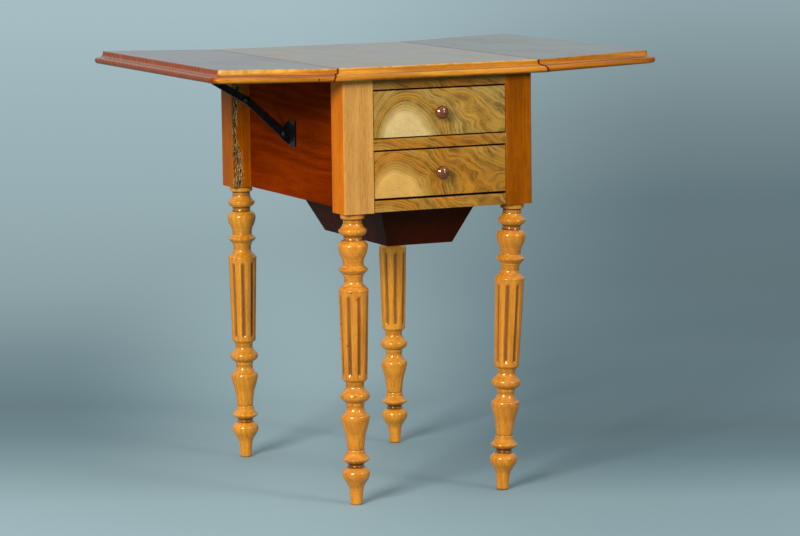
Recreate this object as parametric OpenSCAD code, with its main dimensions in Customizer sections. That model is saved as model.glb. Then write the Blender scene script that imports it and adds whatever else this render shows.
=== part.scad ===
// Drop-leaf sewing table: square carcass on four turned legs, two drawers and a tapered pull-out
// work well in the narrow front, and two leaves on rule joints held up by iron folding stays.
// Millimetres. +Z is up, the drawers open towards -Y, and the origin is on the floor at the centre.

/* [Carcass] */
// Width across the outer faces of the posts
carcass_w = 350; // [310:1:430]
// Depth from the front faces of the posts to the back ones
carcass_d = 550; // [470:1:660]
// Height of the carcass, from the bottom of the posts to the underside of the top
carcass_h = 224; // [195:1:275]
// Height of the legs below the posts
leg_h = 497; // [400:1:600]
// How far the left posts reach past the inner face of the side panel
left_post_lap = 7.5; // [0.5:0.5:12]
// How far the right posts reach past the inner face of the side panel
right_post_lap = 0.5; // [0.5:0.5:12]
// Depth of all four posts
post_d = 51; // [46:0.5:60]
// Distance from the posts' outer faces to the outer faces of the side panels
panel_recess = 35; // [29:0.5:42]
// Thickness of the side panels
panel_t = 13; // [10:0.5:14]
// Thickness of the back panel
back_t = 15; // [10:0.5:20]
// How far the panels and rails run into the posts
housing = 8; // [4:0.5:10]

/* [Top] */
// Thickness of the centre board and of the leaves
top_t = 22; // [18:0.5:27]
// Distance from the carcass's outer faces to the joint lines on the top
joint_out = 11; // [8:0.5:25]
// Radius of the rounded edge of each rule joint
joint_r = 12; // [9:0.5:14]
// Height of the pin line above the underside of the top
pin_lift = 1.5; // [1.5:0.1:2]
// How far the top's sharp edge stands in front of the carcass
top_overhang = 6; // [2:0.5:20]
// Width of a leaf from the joint line to its sharp outer edge
leaf_w = 213; // [180:1:260]
// Radius of the leaves' outer corners at the sharp edge
corner_r = 8; // [4:0.5:20]
// How far the left leaf rises above level, in degrees
left_rise = 1.6; // [0:0.1:2.5]
// How far the right leaf rises above level, in degrees
right_rise = 2; // [0:0.1:2.5]
// Radius of the bead along the lower edge
bead_r = 5.5; // [4:0.1:6]
// Height of the upright part under the sharp edge
edge_fillet = 4; // [1.5:0.1:5]

/* [Drawers] */
// Height of the front rail under the top
top_rail_h = 17; // [12:0.5:24]
// Height of the rail between the drawers
mid_rail_h = 18; // [14:0.5:24]
// Height of the front strip of the well
strip_h = 19; // [17:0.5:24]
// Thickness of the drawer fronts and of the strip
front_t = 18; // [15:0.5:22]
// Thickness of the drawer sides
side_t = 8; // [6:0.5:10]
// Thickness of the drawer bottoms
bottom_t = 5; // [4:0.5:7]
// Space between the drawers and the back panel
drawer_room = 50; // [5:1:150]
// Largest radius of the knobs
knob_r = 11.5; // [9:0.5:14]
// How far the knobs stand out
knob_out = 21; // [16:0.5:26]

/* [Well] */
// Depth of the well below its frame
well_h = 70; // [40:1:110]
// How far each side board slopes inwards
side_slope = 28.5; // [10:0.5:40]
// How far the front board slopes inwards
front_slope = 36; // [10:1:60]
// How far the back board slopes inwards
back_slope = 50; // [10:1:80]
// Thickness of the sloping boards
well_board_t = 7; // [5:0.5:9]
// Width across the tops of the side boards
well_w = 179; // [140:1:190]
// Length across the tops of the front and back boards
well_len = 355; // [260:1:370]
// Thickness of the well's sliding frame
frame_t = 17; // [15:0.5:18]
// Distance from the strip to the front board
frame_front = 33.5; // [20:0.5:60]
// Width of the frame behind the back board
frame_back = 18; // [12:1:40]

/* [Legs] */
// Distance from the carcass's outer faces to the middle of each leg
leg_inset = 25.5; // [24:0.5:27]
// Lean of the front right leg towards the left, in degrees
front_right_lean = 2.7; // [0:0.1:3]
// Number of flutes on a leg
flutes = 8; // [6:1:10]
// Radius of the tool that cuts the flutes
flute_r = 5; // [4:0.5:5.5]
// Depth of the flutes
flute_depth = 2.6; // [1.5:0.1:3]
// Radius of the pin at the top of a leg
tenon_r = 11; // [8:0.5:14]
// Length of the pin at the top of a leg
tenon_len = 40; // [25:1:60]

/* [Stays] */
// Distance from the pin line to the pivot under the left leaf
stay_reach = 110; // [92:1:132]
// How much nearer to the pin line the right leaf's pivot is
right_nearer = 3.5; // [2:0.1:4]
// Distance from the underside of a leaf to the pivot under it
pivot_drop = 10; // [9:0.1:11]
// Distance from the side panel out to the stay's lower pivot
pivot_out = 12.5; // [11:0.5:14]
// Height of the left leaf's pivot above the one on the panel when the leaf hangs down
pivot_fall = 4.5; // [3:0.5:7]
// How much longer a stay is than the largest distance between its two end pivots
stay_slack = 0.9; // [0.4:0.1:2]
// How much longer the lower link is than the upper one
link_split = 6.2; // [4:0.1:8]
// Place of the lower links along the depth of the table
stay_y = 33; // [0:1:60]
// Thickness of the links and ears
iron_t = 3.5; // [2.5:0.1:4]

/* [Hidden] */
$fn = 64;

// Colours of the woods and the iron
honey = [0.80, 0.55, 0.25];
burr = [0.68, 0.56, 0.34];
mahogany = [0.38, 0.12, 0.05];
dark_wood = [0.22, 0.08, 0.05];
pale_wood = [0.72, 0.56, 0.36];
copper = [0.55, 0.28, 0.14];
iron = [0.10, 0.10, 0.12];

// Clearances
slip = 0.3;        // between pieces that move past each other
running = 0.05;    // around a pivot pin
side_gap = 1;      // at each end of a drawer front
over_gap = 3;      // above a drawer front
under_gap = 2.2;   // under the upper drawer front
strip_gap = 4;     // between the lower drawer front and the strip
base_gap = 1;      // between the strip and the bottom of the posts
cove_gap = 1.2;    // between the rounded edge and the hollow of a rule joint
joint_gap = 0.4;   // between the centre board and a leaf at the top of the joint
big = 2000;        // longer than anything here
over = 1;          // how far a cut runs past a face

// Main levels and planes
half_w = carcass_w / 2;
left_post_w = panel_recess + panel_t + left_post_lap;
right_post_w = panel_recess + panel_t + right_post_lap;
half_d = carcass_d / 2;
post_z = leg_h;
top_z = leg_h + carcass_h;
surface_z = top_z + top_t;
open_left = -half_w + left_post_w;
open_right = half_w - right_post_w;
open_mid = (open_left + open_right) / 2;
panel_out = half_w - panel_recess;
panel_in = panel_out - panel_t;
back_recess = 4;
back_in = half_d - back_recess - back_t;
inner_y = half_d - post_d;             // the posts' inner faces
joint_x = half_w + joint_out;
pin_z = top_z + pin_lift;

module along_y(y0, y1) translate([0, y1, 0]) rotate([90, 0, 0]) linear_extrude(y1 - y0) children();
module along_x(x0, x1) translate([x0, 0, 0]) rotate([90, 0, 90]) linear_extrude(x1 - x0) children();
module box(low, high) translate(low) cube(high - low);
module rod_y(x, z, r, y0, y1) translate([x, y1, z]) rotate([90, 0, 0]) cylinder(r = r, h = y1 - y0);
module to_side(s) if (s > 0) children(); else mirror([1, 0, 0]) children();

// ---- Posts, panels and rails ----

post_chamfer = 1.2;
front_set = 0.5;       // how far rails and fronts sit behind the posts' front faces
rail_d = post_d - housing - front_set - slip;   // the front rails end ahead of the panels' tongues
front_y = -half_d + front_set;

module post(x0, x1, y0, y1) {
    c = post_chamfer;
    translate([0, 0, post_z]) linear_extrude(carcass_h) polygon([
        [x0 + c, y0], [x1 - c, y0], [x1, y0 + c], [x1, y1 - c],
        [x1 - c, y1], [x0 + c, y1], [x0, y1 - c], [x0, y0 + c]
    ]);
}

// One post with the housings for what runs into it; sx and sy are its side, -1 or 1
module fitted_post(sx, sy) {
    w = sx < 0 ? left_post_w : right_post_w;
    x0 = sx < 0 ? -half_w : half_w - w;
    y0 = sy < 0 ? -half_d : half_d - post_d;
    color(honey) difference() {
        post(x0, x0 + w, y0, y0 + post_d);
        side_panel_solid(sx);
        if (sy > 0) back_panel_solid();
        if (sy < 0) top_rail_solid();
        if (sy < 0) mid_rail_solid();
        leg_pin(sx, sy);
    }
}

module side_panel_solid(s) to_side(s)
    box([panel_in, -inner_y - housing, post_z], [panel_out, inner_y + housing, top_z]);

module back_panel_solid()
    box([open_left - housing, back_in, post_z + strip_h + base_gap],
        [open_right + housing, half_d - back_recess, top_z]);

module side_panel(s) color(mahogany) difference() {
    side_panel_solid(s);
    bracket_screws(s);
}

module back_panel() color(mahogany) back_panel_solid();

module rail(z0, z1)
    box([open_left - housing, front_y, z0], [open_right + housing, front_y + rail_d, z1]);

module top_rail_solid() rail(top_z - top_rail_h, top_z);
module mid_rail_solid() rail(mid_rail_z, mid_rail_z + mid_rail_h);
module top_rail() color(burr) top_rail_solid();
module mid_rail() color(burr) mid_rail_solid();

// ---- Levels of the drawers and the strip ----

strip_z = post_z + base_gap;
front_h = (carcass_h - top_rail_h - mid_rail_h - strip_h - base_gap
    - strip_gap - 2 * over_gap - under_gap) / 2;
lower_z = strip_z + strip_h + strip_gap;
mid_rail_z = lower_z + front_h + over_gap;
upper_z = mid_rail_z + mid_rail_h + under_gap;

// ---- Legs ----

// Each row of a turning is [length, radius at its lower end, radius at its upper end, bulge]
lower_turning = [
    [4.4, 9.8, 10.6, 0.3], [24.6, 10.6, 12.7, -0.4], [13, 12.7, 20, -0.6], [11, 20, 23.8, 1],
    [11.6, 23.8, 15.2, 2.6], [3.4, 15.2, 13, 0], [4.6, 13, 17.2, -0.6],
    [4.6, 17.2, 23.2, 0.6], [2.2, 23.2, 23.4, 0.3], [8.8, 23.4, 16.2, -1.2], [5, 15.8, 15.8, 0],
    [1.4, 14.8, 14.8, 0], [27.4, 14.2, 17.6, -0.3], [22, 17.6, 23.6, 0.4], [6, 23.6, 24.4, 0.4],
    [4.5, 24.4, 22.8, 0.5], [13.5, 20.8, 14.8, -1.4], [3, 14.8, 15.3, 0], [5, 15.8, 15.8, 0],
    [10, 17, 24.8, 2.4], [8, 24.8, 20.8, 1.4], [11, 20.8, 15.4, -1.6], [6, 15.4, 16.8, -0.4],
    [4.5, 16.8, 21.4, 0.6]
];
upper_turning = [
    [2, 25.4, 25.9, 0], [2.5, 25.9, 24.8, 0.3], [4, 24.8, 21.6, -0.5], [10, 20.4, 15.9, -1.4],
    [8, 15.9, 17.2, -0.6], [3, 17.8, 17.8, 0], [1.5, 18.6, 20.2, 0], [6, 20.2, 25.4, 0.4],
    [1, 25.4, 25.4, 0], [6.5, 25.4, 18.4, -1], [4, 18, 17.8, 0], [9, 17.8, 19.9, -0.4],
    [17, 19.9, 25.4, 1], [12, 25.4, 18.4, 2.6], [4, 17, 15.6, 0], [4, 15.6, 16.6, 0],
    [8.5, 17.8, 24.2, 1.6], [2, 24.2, 24, 0.2], [9, 24, 17, -1.4], [9.5, 16.6, 16.2, -0.4],
    [9, 20.2, 20.2, 0.3]
];
shaft_low_r = 21.6;
shaft_high_r = 25.4;
turn_step = 2.2;       // longest step along a curved stretch of a turning

function total(rows, n) = n <= 0 ? 0 : rows[n - 1][0] + total(rows, n - 1);
function steps_of(row) = row[3] == 0 ? 1 : max(2, ceil(row[0] / turn_step));
function row_points(row, z) = [for (i = [0 : steps_of(row)])
    let (t = i / steps_of(row))
    [row[1] + (row[2] - row[1]) * t + 4 * row[3] * t * (1 - t), z + row[0] * t]];
function outline(rows, z) = [for (i = [0 : len(rows) - 1]) each row_points(rows[i], z + total(rows, i))];

shaft_z = total(lower_turning, len(lower_turning));
shaft_top = leg_h - total(upper_turning, len(upper_turning));
foot_r = lower_turning[0][1];
cap_r = upper_turning[len(upper_turning) - 1][2];
spare = 3;             // extra length at each end of a leaning leg, cut off flat
flute_gap = 5.5;       // plain length at each end of the fluted shaft

module leg_turning() rotate_extrude() polygon(concat(
    [[0, -spare], [foot_r, -spare]], outline(lower_turning, 0),
    outline(upper_turning, shaft_top), [[cap_r, leg_h + spare], [0, leg_h + spare]]));

// The flutes follow the taper of the shaft
module flute_cuts(turn) {
    taper = atan((shaft_high_r - shaft_low_r) / (shaft_top - shaft_z));
    z0 = shaft_z + flute_gap + flute_r;
    length = shaft_top - shaft_z - 2 * flute_gap - 2 * flute_r;
    axis_r = shaft_low_r + (z0 - shaft_z) * tan(taper) + flute_r - flute_depth;
    for (i = [0 : flutes - 1]) rotate([0, 0, turn + 360 * i / flutes])
        translate([axis_r, 0, z0]) rotate([0, taper, 0]) {
            cylinder(r = flute_r, h = length, $fn = 32);
            sphere(r = flute_r, $fn = 32);
            translate([0, 0, length]) sphere(r = flute_r, $fn = 32);
        }
}

module leg_pin(sx, sy) translate([sx * (half_w - leg_inset), sy * (half_d - leg_inset), leg_h - over])
    cylinder(r = tenon_r, h = tenon_len + over);

// A leaning leg turns about the middle of its top and is cut flat at the floor and at the post
module leg(sx, sy, turn, lean) color(honey) {
    x = sx * (half_w - leg_inset);
    y = sy * (half_d - leg_inset);
    intersection() {
        translate([x, y, leg_h]) rotate([0, lean, 0]) translate([0, 0, -leg_h]) difference() {
            leg_turning();
            flute_cuts(turn);
        }
        box([x - leg_inset * 3, y - leg_inset * 3, 0], [x + leg_inset * 3, y + leg_inset * 3, leg_h]);
    }
    leg_pin(sx, sy);
}

// ---- Top ----

half_top = half_d + top_overhang;              // from the middle to the sharp edge
edge_step = 0.5;                               // small flat above the hollow
edge_flat = 1.7;                               // small flat above the bead
hollow_r = top_t - 2 * bead_r - edge_fillet;   // the hollow fills the rest of the edge
edge_out = edge_step + hollow_r + edge_flat + bead_r;
arris = 0.6;                                   // softening of the sharp edge
leaf_out = joint_x + leaf_w;
cove_r = joint_r + cove_gap;

// The moulded edge, from the underside up, measured outwards from the sharp edge
function edge_points() = concat(
    [for (a = [-90 : 15 : 90]) [edge_out - bead_r + bead_r * cos(a), bead_r + bead_r * sin(a)]],
    [for (a = [270 : -15 : 180])
        [edge_step + hollow_r + hollow_r * cos(a), 2 * bead_r + hollow_r + hollow_r * sin(a)]],
    [[edge_step / 2, top_t - arris], [-arris, top_t]]);

// Cross-section of a board whose sharp edges are at u = -half and u = half
module board_section(half) {
    edge = edge_points();
    n = len(edge);
    polygon(concat([for (p = edge) [half + p[0], p[1]]],
        [for (i = [n - 1 : -1 : 0]) [-half - edge[i][0], edge[i][1]]]));
}

// One edge with the moulding, from u = 0 to the bead
module edge_section(reach) polygon(concat(
    [[0, 0]], [for (p = edge_points()) [reach + p[0], p[1]]], [[0, top_t]]));

module centre_board() intersection() {
    translate([0, 0, top_z]) along_x(-joint_x - joint_r, joint_x + joint_r) board_section(half_top);
    union() {
        box([-joint_x, -big, top_z - over], [joint_x, big, surface_z + over]);
        box([-joint_x - joint_r, -big, top_z - over], [joint_x + joint_r, big, pin_z]);
        for (s = [-1, 1]) rod_y(s * joint_x, pin_z, joint_r, -big, big);
    }
}

module centre_top() color(honey) difference() {
    centre_board();
    for (s = [-1, 1]) to_side(s) for (y = hinge_ys) hinge_recess(y);
    batten_screws();
    for (s = [-1, 1]) fixed_flap_screws(s);
}

// A level right leaf; the left one is its mirror
module level_leaf(rise) {
    lip = joint_gap + (surface_z - pin_z) * sin(rise);
    corner_x = leaf_out - corner_r;
    corner_y = half_top - corner_r;
    translate([0, 0, top_z]) difference() {
        union() {
            along_x(joint_x + lip, corner_x) board_section(half_top);
            translate([corner_x, 0, 0]) along_y(-corner_y, corner_y) edge_section(corner_r);
            for (s = [-1, 1]) translate([corner_x, s * corner_y, 0])
                rotate([0, 0, s > 0 ? 0 : -90]) rotate_extrude(angle = 90) edge_section(corner_r);
        }
        rod_y(joint_x, pin_lift, cove_r, -big / 2, big / 2);
        box([joint_x - over, -big / 2, -over], [joint_x + cove_r, big / 2, pin_lift]);
    }
}

// Carries what is drawn level on the right side to its leaf's place
module on_leaf(s) {
    rise = s > 0 ? right_rise : left_rise;
    to_side(s) translate([joint_x, 0, pin_z]) rotate([0, -rise, 0])
        translate([-joint_x, 0, -pin_z]) children();
}

module leaf(s) color(honey) on_leaf(s) difference() {
    level_leaf(s > 0 ? right_rise : left_rise);
    for (y = hinge_ys) leaf_flap_plate(y);
    leaf_screw_set(s);
}

// ---- Hinges of the leaves ----

hinge_ys = [-150, 150];
hinge_w = 36;          // length of a hinge along its pin
flap_t = 2;            // thickness of the flaps
knuckle_r = 3.4;
hinge_pin_r = 1.6;
fixed_reach = 24;      // from the pin line to the end of the short flap
leaf_reach = 42;       // from the pin line to the end of the long flap
flap_lift = 1.4;       // room over the long flap where it passes under the rounded edge
knuckle_w = hinge_w / 3;
hinge_end = 1;         // play at each end of a hinge's cut-out

module hinge_recess(y) {
    fixed_flap_plate(y);
    box([joint_x, y - hinge_w / 2 - hinge_end, top_z - over],
        [joint_x + joint_r + over, y + hinge_w / 2 + hinge_end, top_z + flap_t + flap_lift]);
    rod_y(joint_x, pin_z, knuckle_r + slip, y - hinge_w / 2 - hinge_end, y + hinge_w / 2 + hinge_end);
}

module fixed_flap_plate(y)
    box([joint_x - fixed_reach, y - hinge_w / 2, top_z], [joint_x, y + hinge_w / 2, top_z + flap_t]);

module leaf_flap_plate(y)
    box([joint_x, y - hinge_w / 2, top_z], [joint_x + leaf_reach, y + hinge_w / 2, top_z + flap_t]);

// Short flap with the two outer knuckles
module fixed_flap(y) difference() {
    union() {
        fixed_flap_plate(y);
        rod_y(joint_x, pin_z, knuckle_r, y - hinge_w / 2, y + hinge_w / 2);
    }
    box([joint_x - knuckle_r - slip, y - knuckle_w / 2 - slip, top_z - 2 * knuckle_r],
        [joint_x + knuckle_r + slip, y + knuckle_w / 2 + slip, top_z + 3 * knuckle_r]);
    rod_y(joint_x, pin_z, hinge_pin_r, y - hinge_w, y + hinge_w);
}

// Long flap with the middle knuckle
module leaf_flap(y) difference() {
    union() {
        difference() {
            leaf_flap_plate(y);
            box([joint_x - over, y - hinge_w, top_z - over],
                [joint_x + knuckle_r + slip, y + hinge_w, top_z + flap_t + over]);
        }
        rod_y(joint_x, pin_z, knuckle_r, y - knuckle_w / 2, y + knuckle_w / 2);
        box([joint_x, y - knuckle_w / 2, top_z],
            [joint_x + 2 * knuckle_r, y + knuckle_w / 2, top_z + flap_t]);
    }
    rod_y(joint_x, pin_z, hinge_pin_r + running, y - hinge_w, y + hinge_w);
}

module hinge_fixed_flaps() color(iron) for (s = [-1, 1]) to_side(s) for (y = hinge_ys) difference() {
    fixed_flap(y);
    flap_screw_pair(joint_x - fixed_reach * 0.6, y, 1);
}

module hinge_pins() color(iron) for (s = [-1, 1]) to_side(s) for (y = hinge_ys)
    rod_y(joint_x, pin_z, hinge_pin_r, y - hinge_w / 2, y + hinge_w / 2);

module leaf_hinge_flaps(s) color(iron) on_leaf(s) for (y = hinge_ys) difference() {
    leaf_flap(y);
    flap_screw_pair(joint_x + leaf_reach * 0.75, y, 1);
}

// ---- Screws ----

screw_r = 1.6;
screw_head_r = 3.4;
screw_head_h = 1.9;
screw_len = 13;
slot_w = 0.8;
slot_d = 0.9;

// A countersunk wood screw with its head's face at the origin, pointing up
module screw(length = screw_len, slot = 1) difference() {
    union() {
        cylinder(r1 = screw_head_r, r2 = screw_r, h = screw_head_h, $fn = 32);
        cylinder(r = screw_r, h = length, $fn = 32);
    }
    if (slot > 0) box([-2 * screw_head_r, -slot_w / 2, -over], [2 * screw_head_r, slot_w / 2, slot_d]);
}

// Two screws in a hinge flap; the holes are drawn with fill = 1
module flap_screw_pair(x, y, fill = 0) for (dy = [-1, 1])
    translate([x, y + dy * hinge_w * 0.28, top_z]) rotate([0, 0, 30 * dy]) screw(slot = 1 - fill);

module fixed_flap_screws(s, fill = 1) to_side(s) for (y = hinge_ys)
    flap_screw_pair(joint_x - fixed_reach * 0.6, y, fill);

batten_s = 18;         // width and height of the top battens
batten_screw_ys = [-0.36, 0, 0.36];
batten_screw_len = batten_s + top_t * 0.55;

module batten_screws(fill = 1) for (s = [-1, 1]) for (f = batten_screw_ys)
    translate([s * (panel_in - batten_s / 2), f * carcass_d, top_z - batten_s])
        screw(batten_screw_len, 1 - fill);

module bracket_screws(s, fill = 1) to_side(s) for (dz = [-1, 1])
    translate([panel_out + bracket_t, layer_2 - bracket_w * 0.62, bracket_z + bracket_h * (0.5 + dz * 0.27)])
        rotate([0, -90, 0]) screw(slot = 1 - fill);

module leaf_screw_set(s, fill = 1) {
    for (y = hinge_ys) flap_screw_pair(joint_x + leaf_reach * 0.75, y, fill);
    for (dx = [-1, 1]) translate([joint_x + reach(s) + dx * plate_len * 0.27, plate_screw_y, top_z - plate_t])
        screw(slot = 1 - fill);
}

module carcass_screws() color(iron) {
    batten_screws(0);
    for (s = [-1, 1]) fixed_flap_screws(s, 0);
    for (s = [-1, 1]) bracket_screws(s, 0);
}

module leaf_screws(s) color(iron) on_leaf(s) leaf_screw_set(s, 0);

// ---- Folding stays ----

// Three layers along Y: lower link, then upper link and bracket ear, then the ear of the leaf plate
layer_1 = stay_y;
layer_2 = stay_y + iron_t + slip;
layer_3 = layer_2 + iron_t + slip;
bracket_t = 3;         // thickness of the bracket on the panel
bracket_w = 30;        // width of the bracket along the panel
bracket_h = 44;        // height of the bracket
plate_t = 2.5;         // thickness of the plate under the leaf
plate_len = 46;        // length of that plate, away from the hinge
plate_w = 30;          // its width along the table's depth
plate_screw_y = layer_3 + iron_t - plate_w * 0.62;
pivot_r = 3;           // radius of the rivets
head_r = 5.5;          // radius of their heads
head_h = 2.6;          // height of their heads
low_end_r = 9;         // radius of the lower link's end at the bracket
knee_r = 7.2;          // radius of both links' ends at the knee
high_end_r = 6.5;      // radius of the upper link's end under the leaf

function reach(s) = stay_reach - (s > 0 ? right_nearer : 0);
function turned(v, a) = [v[0] * cos(a) - v[1] * sin(a), v[0] * sin(a) + v[1] * cos(a)];
low_pivot = [panel_out + pivot_out, pin_z - stay_reach - pivot_fall];
bracket_z = low_pivot[1] + 1 - bracket_h / 2;
function high_pivot(s) = [joint_x, pin_z]
    + turned([reach(s), -pin_lift - pivot_drop], s > 0 ? right_rise : left_rise);
stay_len = max(norm(high_pivot(-1) - low_pivot), norm(high_pivot(1) - low_pivot)) + stay_slack;
lower_link = (stay_len + link_split) / 2;
upper_link = (stay_len - link_split) / 2;
// The knee is the upper point at the links' lengths from both pivots
function knee(s) = let (
        v = high_pivot(s) - low_pivot, d = norm(v), u = v / d,
        p = (lower_link^2 - upper_link^2 + d^2) / (2 * d), h = sqrt(lower_link^2 - p^2))
    low_pivot + p * u + h * [-u[1], u[0]];
function heading(v) = atan2(v[1], v[0]);

bar_share = 0.88;      // width of a link beside its eyes, as a share of theirs

// A flat link from the origin along +X, with round eyes and two holes
module link(length, r0, r1, hole_0, hole_1, y0) {
    w0 = r0 * bar_share;
    w1 = r1 * bar_share;
    difference() {
        union() {
            along_y(y0, y0 + iron_t) polygon([[0, -w0], [length, -w1], [length, w1], [0, w0]]);
            rod_y(0, 0, r0, y0, y0 + iron_t);
            rod_y(length, 0, r1, y0, y0 + iron_t);
        }
        rod_y(0, 0, hole_0, y0 - over, y0 + iron_t + over);
        if (hole_1 > 0) rod_y(length, 0, hole_1, y0 - over, y0 + iron_t + over);
    }
}

// Draws a link that starts at p and points to q, both in the XZ plane
module from_to(p, q) translate([p[0], 0, p[1]]) rotate([0, -heading(q - p), 0]) children();

// A rivet along Y with a low domed head at each end that is asked for
module rivet(y0, y1, front_head, back_head) {
    rod_y(0, 0, pivot_r, y0, y1);
    if (front_head > 0) translate([0, y0, 0]) rotate([90, 0, 0]) rivet_head();
    if (back_head > 0) translate([0, y1, 0]) rotate([-90, 0, 0]) rivet_head();
}

module rivet_head() {
    dome_r = (head_r^2 + head_h^2) / (2 * head_h);
    intersection() {
        translate([0, 0, head_h - dome_r]) sphere(r = dome_r);
        cylinder(r = head_r + over, h = head_h + over);
    }
}

module stay_bracket_solid() {
    p = low_pivot;
    z0 = bracket_z;
    y1 = layer_2 + iron_t;
    difference() {
        union() {
            box([panel_out, y1 - bracket_w, z0], [panel_out + bracket_t, y1, z0 + bracket_h]);
            along_y(layer_2, y1) polygon([
                [panel_out, z0], [p[0] + low_end_r * 0.6, p[1] - low_end_r * 0.8],
                [p[0] + low_end_r * 0.6, p[1] + low_end_r * 0.8], [panel_out + bracket_t, z0 + bracket_h],
                [panel_out, z0 + bracket_h]]);
            rod_y(p[0], p[1], low_end_r, layer_2, y1);
        }
        rod_y(p[0], p[1], pivot_r, layer_2 - over, y1 + over);
    }
}

module stay_bracket(s) color(iron) difference() {
    to_side(s) stay_bracket_solid();
    bracket_screws(s);
}

module bracket_rivet(s) color(iron) to_side(s) translate([low_pivot[0], 0, low_pivot[1]])
    rivet(layer_1 - slip, layer_2 + iron_t, 1, 1);

module lower_stay_link(s) color(iron) to_side(s) from_to(low_pivot, knee(s))
    link(lower_link, low_end_r, knee_r, pivot_r + running, pivot_r, layer_1);

module knee_rivet(s) color(iron) to_side(s) translate([knee(s)[0], 0, knee(s)[1]])
    rivet(layer_1, layer_1 + iron_t, 1, 0);

module upper_stay_link(s) color(iron) to_side(s) from_to(high_pivot(s), knee(s))
    link(upper_link, high_end_r, knee_r, pivot_r + running, 0, layer_2);

// Plate under the leaf, drawn for a level leaf on the right
module stay_plate_solid(s) {
    plate_x = joint_x + reach(s);
    y1 = layer_3 + iron_t;
    z = top_z - pivot_drop;
    difference() {
        union() {
            box([plate_x - plate_len / 2, y1 - plate_w, top_z - plate_t],
                [plate_x + plate_len / 2, y1, top_z]);
            along_y(layer_3, y1) translate([plate_x, 0]) polygon([
                [-high_end_r * 0.8, z - high_end_r * 0.6], [high_end_r * 0.8, z - high_end_r * 0.6],
                [plate_len * 0.4, top_z - plate_t], [plate_len * 0.4, top_z],
                [-plate_len * 0.4, top_z], [-plate_len * 0.4, top_z - plate_t]]);
            rod_y(plate_x, z, high_end_r, layer_3, y1);
        }
        rod_y(plate_x, z, pivot_r, layer_3 - over, y1 + over);
    }
}

module stay_plate(s) color(iron) on_leaf(s) difference() {
    stay_plate_solid(s);
    leaf_screw_set(s);
}

module plate_rivet(s) color(iron) on_leaf(s) translate([joint_x + reach(s), 0, top_z - pivot_drop])
    rivet(layer_2 - slip, layer_3 + iron_t, 1, 1);

// ---- Runners and battens inside the carcass ----

runner_h = 16;
runner_lap = 12;       // how far a runner reaches under a drawer side
well_runner_h = 7;
groove_d = 6;          // depth of the grooves in the well's side rails
side_lift = 10;        // how far the lower drawer's sides stand above its front's lower edge

function opening(s) = s > 0 ? open_right : -open_left;

module runner(s, z1, h, reach) to_side(s)
    box([opening(s) - reach, -inner_y, z1 - h], [panel_in, inner_y, z1]);

module drawer_runners() color(pale_wood) for (s = [-1, 1]) {
    runner(s, upper_z - slip, runner_h, runner_lap);
    runner(s, lower_z + side_lift - slip, side_lift + strip_gap - 2 * slip, runner_lap);
}

module well_runners() color(pale_wood) for (s = [-1, 1])
    runner(s, strip_z + frame_t / 2 + well_runner_h / 2, well_runner_h,
        side_gap + groove_d - slip);

module top_battens() color(pale_wood) difference() {
    for (s = [-1, 1]) to_side(s)
        box([panel_in - batten_s, -inner_y, top_z - batten_s], [panel_in, inner_y, top_z]);
    batten_screws();
}

// ---- Drawers ----

lap = 6;               // wood left in front of the dovetails
tail_share = 0.62;     // width of a dovetail at its end, as a share of their spacing
root_share = 0.44;     // its width at its root
groove = 4;            // depth of the grooves for the bottom and the back
bottom_up = 8;         // height of the bottom above the lower edge of the sides
side_drop = 8;         // how far the sides stay below the top of the front
spigot_r = 4;

// The two drawers: 0 is the lower one and 1 the upper one
function front_z(k) = k > 0 ? upper_z : lower_z;
function side_z(k) = front_z(k) + (k > 0 ? 0 : side_lift);
function side_h(k) = front_z(k) + front_h - side_drop - side_z(k);
drawer_left = open_left + side_gap;
drawer_right = open_right - side_gap;
drawer_back = back_in - drawer_room;

module drawer_front_block(k)
    box([drawer_left, front_y, front_z(k)], [drawer_right, front_y + front_t, front_z(k) + front_h]);

// A side with three dovetails that run into the front
module drawer_side_solid(k, s) {
    x0 = s < 0 ? drawer_left : drawer_right - side_t;
    h = side_h(k);
    pitch = h / 3;
    root = front_y + front_t;
    along_x(x0, x0 + side_t) polygon(concat(
        [[drawer_back, side_z(k)], [drawer_back, side_z(k) + h], [root, side_z(k) + h]],
        [for (i = [2 : -1 : 0])
            let (z = side_z(k) + pitch * (i + 0.5), a = pitch * tail_share / 2, b = pitch * root_share / 2)
            each [[root, z + b], [front_y + lap, z + a], [front_y + lap, z - a], [root, z - b]]],
        [[root, side_z(k)]]));
}

module drawer_bottom_solid(k)
    box([drawer_left + side_t - groove, front_y + front_t - groove, side_z(k) + bottom_up],
        [drawer_right - side_t + groove, drawer_back, side_z(k) + bottom_up + bottom_t]);

module drawer_back_solid(k)
    box([drawer_left + side_t - groove, drawer_back - 2 * side_t, side_z(k) + bottom_up + bottom_t],
        [drawer_right - side_t + groove, drawer_back - side_t, side_z(k) + side_h(k) - side_drop / 2]);

module drawer_side(k, s) color(pale_wood) difference() {
    drawer_side_solid(k, s);
    drawer_bottom_solid(k);
    drawer_back_solid(k);
}

knob_x = open_mid - 2; // the knobs sit a little left of the drawers' middle

module at_knob(k) translate([knob_x, front_y, front_z(k) + front_h / 2]) rotate([90, 0, 0]) children();

module drawer_front(k) color(burr) difference() {
    drawer_front_block(k);
    drawer_side_solid(k, -1);
    drawer_side_solid(k, 1);
    drawer_bottom_solid(k);
    at_knob(k) translate([0, 0, -front_t - over]) cylinder(r = spigot_r, h = front_t + 2 * over);
}

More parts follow.
